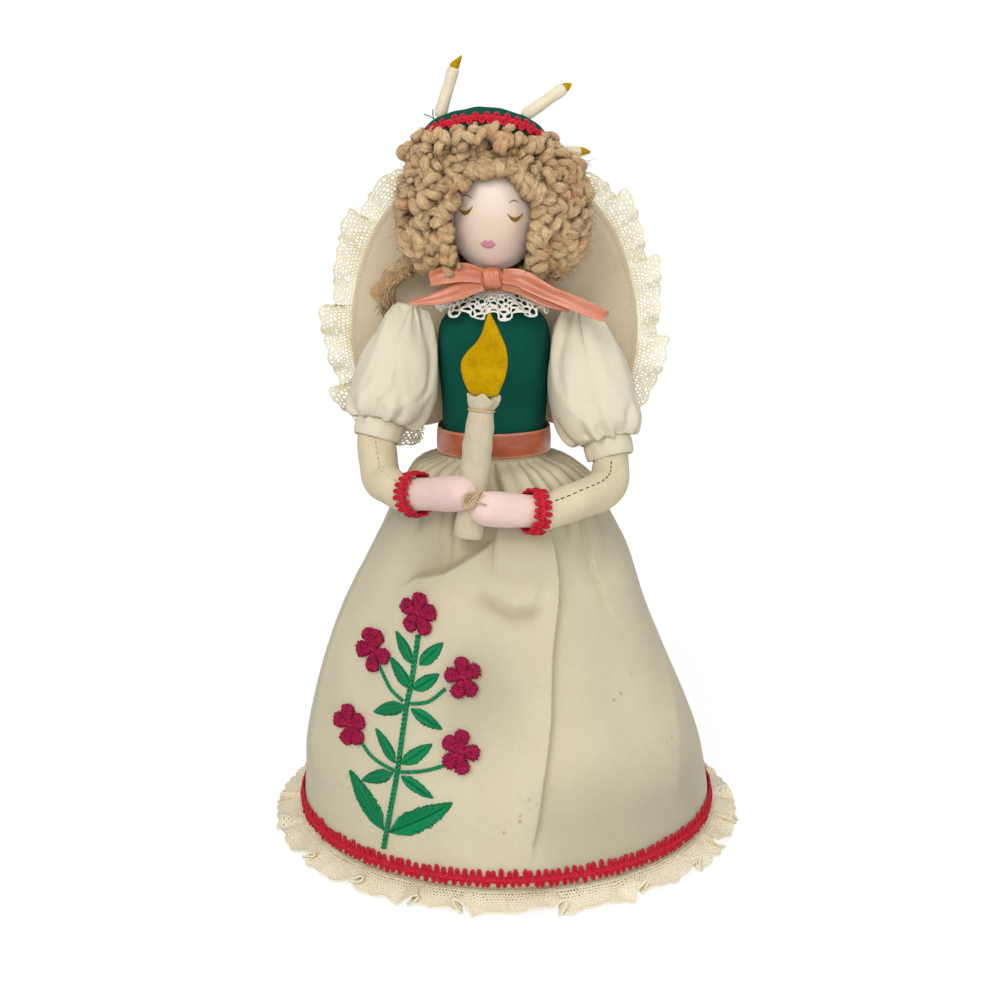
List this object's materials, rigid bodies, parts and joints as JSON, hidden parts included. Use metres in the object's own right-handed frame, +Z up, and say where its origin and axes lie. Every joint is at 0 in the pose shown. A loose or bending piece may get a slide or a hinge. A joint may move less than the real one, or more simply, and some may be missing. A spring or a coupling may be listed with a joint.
{
  "type": "angel tree topper",
  "caption": "Stuffed cloth angel on a hollow bell form that slips over a treetop, with padded lace-edged wings, yarn curls, a candle crown and a candle held in both hands.",
  "frame": {"origin": "centre of the lace hem on the plane that the bell form's rim stands on", "axes": "+Z up from the rim to the crown, -Y the way the doll faces, +X towards the doll's left"},
  "size_m": [0.1908, 0.1908, 0.3006],
  "materials": {
    "buckram": "stiffened cotton buckram, matte",
    "skirt_cotton": "natural muslin, plain weave, matte",
    "lace": "cream cotton lace",
    "red_braid": "red loop braid",
    "skin_cotton": "pale pink and cream cotton over stuffing",
    "green_cotton": "dark green cotton",
    "satin": "copper satin ribbon",
    "sleeve_cotton": "natural muslin, gathered",
    "wing_cotton": "beige cotton over wadding",
    "candle_cotton": "cream cotton sewn into tubes",
    "yarn": "light brown curled yarn",
    "felt": "mustard felt",
    "wood": "plain wooden dowel"
  },
  "bodies": {
    "doll": {"bell_form": "buckram", "skirt": "skirt_cotton", "hem_braid": "red_braid", "hem_lace": "lace", "torso": "skin_cotton", "neck_dowel": "wood", "bodice": "green_cotton", "waist_ribbon": "satin", "collar_lace": "lace", "neck_ribbon": "satin", "bow_knot": "satin", "right_bow_tail": "satin", "left_bow_tail": "satin", "head": "skin_cotton", "crown_band": "green_cotton", "crown_braid": "red_braid", "hair": "yarn", "hair_lock": "yarn"},
    "arms": {"right_sleeve": "sleeve_cotton", "right_cuff": "sleeve_cotton", "right_forearm": "skin_cotton", "right_wrist_braid": "red_braid", "right_hand": "skin_cotton", "left_sleeve": "sleeve_cotton", "left_cuff": "sleeve_cotton", "left_forearm": "skin_cotton", "left_wrist_braid": "red_braid", "left_hand": "skin_cotton", "held_candle": "candle_cotton", "held_flame": "felt", "candle_tie": "candle_cotton"},
    "wing_right": {"right_wing": "wing_cotton", "right_wing_lace": "lace"},
    "wing_left": {"left_wing": "wing_cotton", "left_wing_lace": "lace"},
    "crown_taper_1": {"crown_candle_1": "candle_cotton", "crown_flame_1": "felt"},
    "crown_taper_2": {"crown_candle_2": "candle_cotton", "crown_flame_2": "felt"},
    "crown_taper_3": {"crown_candle_3": "candle_cotton", "crown_flame_3": "felt"},
    "crown_taper_4": {"crown_candle_4": "candle_cotton", "crown_flame_4": "felt"}
  },
  "joints": [
    {"name": "arms_lift", "type": "hinge", "parent": "doll", "child": "arms", "pos_m": [-0.005, -0.0005, 0.2033], "axis": [1, 0, 0], "range_deg": [-25, 0]},
    {"name": "right_wing_flap", "type": "hinge", "parent": "doll", "child": "wing_right", "pos_m": [-0.005, 0.0184, 0.19], "axis": [0, 0, -1], "range_deg": [0, 35]},
    {"name": "left_wing_flap", "type": "hinge", "parent": "doll", "child": "wing_left", "pos_m": [-0.005, 0.0184, 0.19], "axis": [0, 0, 1], "range_deg": [0, 35]},
    {"name": "crown_candle_1_lean", "type": "hinge", "parent": "doll", "child": "crown_taper_1", "pos_m": [-0.0245, -0.00617, 0.27985], "axis": [0, 1, 0], "range_deg": [-12, 12]},
    {"name": "crown_candle_2_lean", "type": "hinge", "parent": "doll", "child": "crown_taper_2", "pos_m": [0.0075, -0.0054, 0.27929], "axis": [0, 1, 0], "range_deg": [-20, 10]},
    {"name": "crown_candle_3_lean", "type": "hinge", "parent": "doll", "child": "crown_taper_3", "pos_m": [0.0125, 0.01627, 0.26355], "axis": [0, 1, 0], "range_deg": [-25, 0]},
    {"name": "crown_candle_4_lean", "type": "hinge", "parent": "doll", "child": "crown_taper_4", "pos_m": [-0.026, 0.02183, 0.2595], "axis": [1, 0, 0], "range_deg": [-15, 0]}
  ]
}
